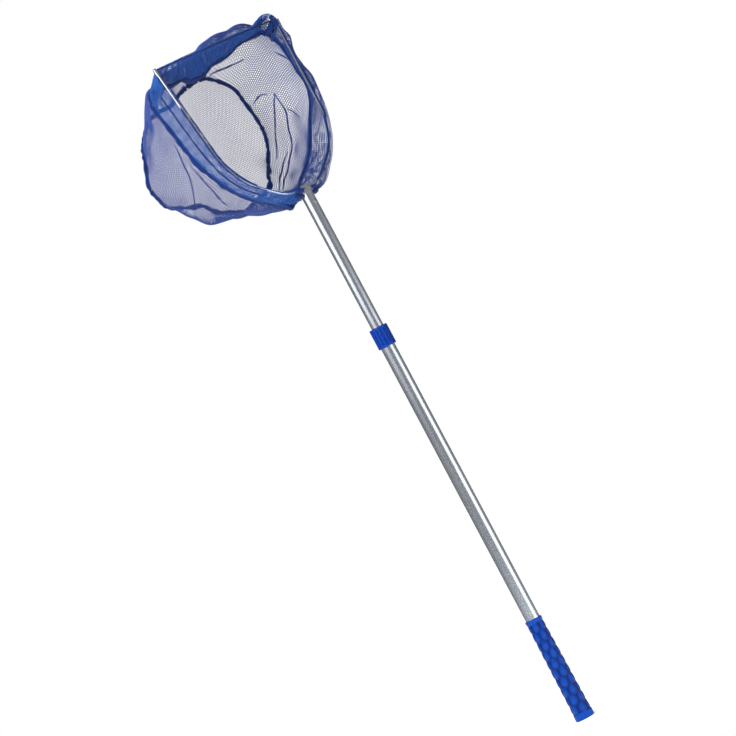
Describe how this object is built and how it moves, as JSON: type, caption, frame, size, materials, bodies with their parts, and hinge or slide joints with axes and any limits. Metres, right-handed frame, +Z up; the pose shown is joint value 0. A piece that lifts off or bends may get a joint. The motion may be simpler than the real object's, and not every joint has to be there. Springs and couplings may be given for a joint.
{
  "type": "leaf skimmer net",
  "caption": "Hand-held net with a deep D-shaped mesh bag on a folding hoop of bent rods, on a telescopic twist-lock pole with a moulded grip.",
  "frame": {"origin": "centre of the butt face, on the pole's axis", "axes": "+Z up the pole towards the hoop, -Y out of the hoop's mouth, +Y towards the bag's bottom, +X to the right arm"},
  "size_m": [0.283, 0.1653, 1.1347],
  "materials": {
    "grip_plastic": "satin",
    "collar_plastic": "gloss",
    "tube_aluminium": "satin",
    "lock_plastic": "matte",
    "yoke_metal": "satin",
    "rod_metal": "polished",
    "pin_steel": "satin",
    "netting": "satin",
    "hem_fabric": "satin",
    "cord_braid": "matte"
  },
  "bodies": {
    "handle": {"grip": "grip_plastic", "butt_cap": "grip_plastic", "lower_tube": "tube_aluminium", "guide_bush": "lock_plastic", "collar": "collar_plastic"},
    "expander": {"cam_ring": "lock_plastic"},
    "mast": {"upper_tube": "tube_aluminium", "cam_core": "lock_plastic", "cam_washer": "pin_steel", "cam_screw": "pin_steel", "core_rivet": "pin_steel", "hub_yoke": "yoke_metal", "hub_rivet": "pin_steel", "arm_pivot_pins": "pin_steel", "front_cord": "cord_braid", "front_hem": "hem_fabric", "hub_hem": "hem_fabric", "net_wall_left": "netting", "net_wall_right": "netting", "net_bottom": "netting", "bottom_seam": "hem_fabric"},
    "arm_left": {"arm_rod_left": "rod_metal", "arm_tip_left": "yoke_metal", "hem_left": "hem_fabric"},
    "arm_right": {"arm_rod_right": "rod_metal", "arm_tip_right": "yoke_metal", "hem_right": "hem_fabric"}
  },
  "joints": [
    {"name": "pole_slide", "type": "slide", "parent": "handle", "child": "expander", "axis": [0, 0, 1], "range_m": [-0.204, 0.32]},
    {"name": "twist_lock", "type": "hinge", "parent": "expander", "child": "mast", "pos_m": [0, 0, 0.25], "axis": [0, 0, 1], "range_deg": [-90, 0]},
    {"name": "arm_left_fold", "type": "hinge", "parent": "mast", "child": "arm_left", "pos_m": [-0.0053, 0.0007, 0.88097], "axis": [0, 0.9962, -0.0872], "range_deg": [0, 26], "deforming": ["front_cord", "front_hem", "net_bottom", "bottom_seam", "net_wall_left", "hub_hem"]},
    {"name": "arm_right_fold", "type": "hinge", "parent": "mast", "child": "arm_right", "pos_m": [0.0053, 0.0007, 0.88097], "axis": [0, -0.9962, 0.0872], "range_deg": [0, 26], "deforming": ["net_wall_right"]}
  ]
}
